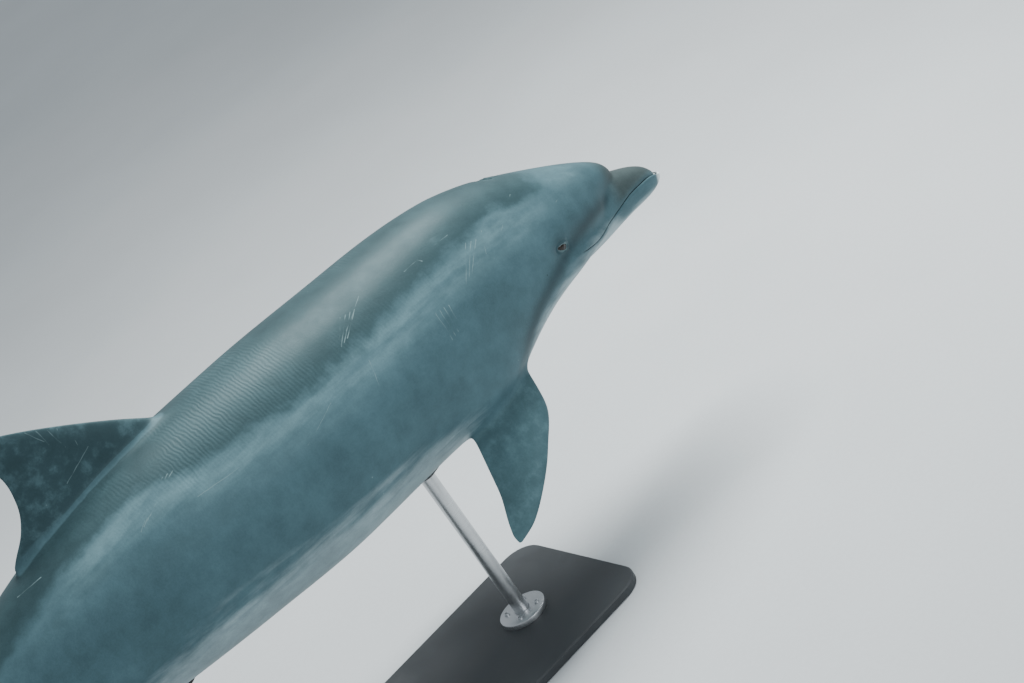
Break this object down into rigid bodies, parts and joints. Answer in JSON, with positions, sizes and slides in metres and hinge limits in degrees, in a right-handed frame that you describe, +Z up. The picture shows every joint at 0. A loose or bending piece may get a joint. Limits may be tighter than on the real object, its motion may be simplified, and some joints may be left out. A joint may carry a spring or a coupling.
{
  "type": "bottlenose dolphin display model",
  "caption": "Life-size still model of a bottlenose dolphin swimming, held level on a flat base by plain rods.",
  "frame": {"origin": "on the floor, below the middle of the whole model, at the underside of the stand's base", "axes": "+X towards the snout, +Y to the animal's left, +Z up"},
  "size_m": [2.7072, 0.6604, 1.141],
  "materials": {
    "skin": "satin",
    "skin_dark": "satin",
    "skin_pale": "satin",
    "eye": "gloss",
    "stand_paint": "satin",
    "stand_steel": "satin",
    "stand_pad": "matte"
  },
  "bodies": {
    "root": {"beak_upper": "skin_dark", "lower_jaw": "skin_pale", "head": "skin", "eye_right": "eye", "eye_left": "eye", "neck": "skin", "trunk_front": "skin", "trunk_rear": "skin", "tail_stock_front": "skin", "tail_stock_rear": "skin", "dorsal_fin": "skin_dark", "flipper_right": "skin", "fluke_right": "skin_dark", "flipper_left": "skin", "fluke_left": "skin_dark", "stand_base": "stand_paint", "stand_rod_front": "stand_steel", "stand_flange_front": "stand_steel", "stand_cup_front": "stand_pad", "stand_rod_rear": "stand_steel", "stand_flange_rear": "stand_steel", "stand_cup_rear": "stand_pad"}
  },
  "joints": []
}
